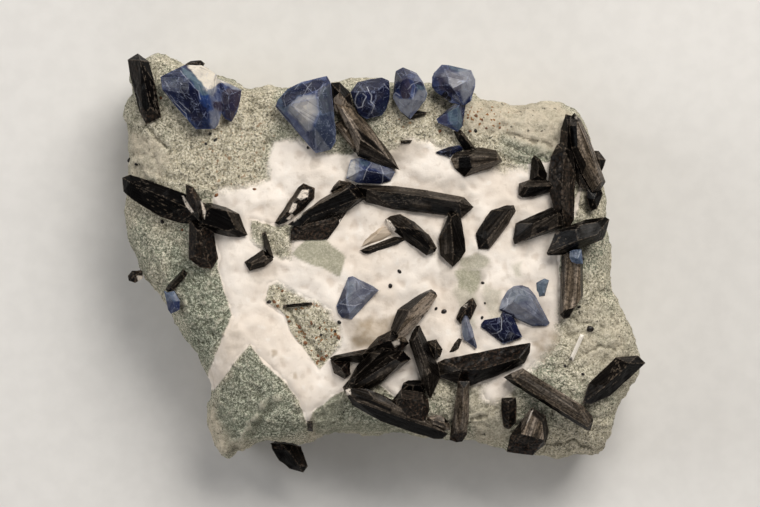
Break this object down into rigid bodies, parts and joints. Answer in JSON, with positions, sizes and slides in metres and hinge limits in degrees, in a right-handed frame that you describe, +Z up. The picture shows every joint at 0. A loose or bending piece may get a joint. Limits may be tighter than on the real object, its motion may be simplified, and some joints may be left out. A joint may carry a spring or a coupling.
{
  "type": "benitoite with neptunite specimen",
  "caption": "Flat hand specimen: grey-green rock slab with white natrolite that carries blue benitoite and black neptunite crystals.",
  "frame": {"origin": "centre of the specimen's box, on the flat underside that it rests on", "axes": "+X along the slab's length, +Y across it, +Z up out of the face that carries the crystals"},
  "size_m": [0.1314, 0.1062, 0.0382],
  "materials": {
    "rock": "rough",
    "natrolite": "satin",
    "neptunite": "glossy",
    "benitoite": "glossy, translucent"
  },
  "bodies": {
    "root": {"matrix_rock": "rock", "natrolite_crust": "natrolite", "natrolite_wedge": "natrolite", "natrolite_stick": "natrolite", "neptunite_upper_left_prism": "neptunite", "neptunite_sliver_behind": "neptunite", "neptunite_left_cluster": "neptunite", "neptunite_left_edge_bit": "neptunite", "neptunite_left_small_prism": "neptunite", "neptunite_below_the_edge": "neptunite", "neptunite_lower_left_block": "neptunite", "neptunite_veined_blade": "neptunite", "neptunite_center_cross": "neptunite", "neptunite_center_pair": "neptunite", "neptunite_small_cross": "neptunite", "neptunite_block_with_prism": "neptunite", "neptunite_under_benitoite": "neptunite", "neptunite_top_sliver": "neptunite", "neptunite_right_blade": "neptunite", "neptunite_right_cluster": "neptunite", "neptunite_lower_right_bar": "neptunite", "neptunite_corner_prism": "neptunite", "neptunite_bottom_stub": "neptunite", "neptunite_bottom_wedge": "neptunite", "neptunite_lower_cluster": "neptunite", "neptunite_small_wedge": "neptunite", "neptunite_blue_neighbor": "neptunite", "neptunite_needle": "neptunite", "neptunite_striated_prism": "neptunite", "benitoite_upper_left_twin": "benitoite", "benitoite_large_crystal": "benitoite", "benitoite_ringed_crystal": "benitoite", "benitoite_top_point": "benitoite", "benitoite_top_right_pair": "benitoite", "benitoite_beside_the_prism": "benitoite", "benitoite_dark_shard": "benitoite", "benitoite_center_tablet": "benitoite", "benitoite_right_pair": "benitoite", "benitoite_narrow_crystal": "benitoite", "benitoite_small_tablet": "benitoite", "benitoite_on_neptunite": "benitoite", "benitoite_left_edge_crystal": "benitoite"}
  },
  "joints": []
}
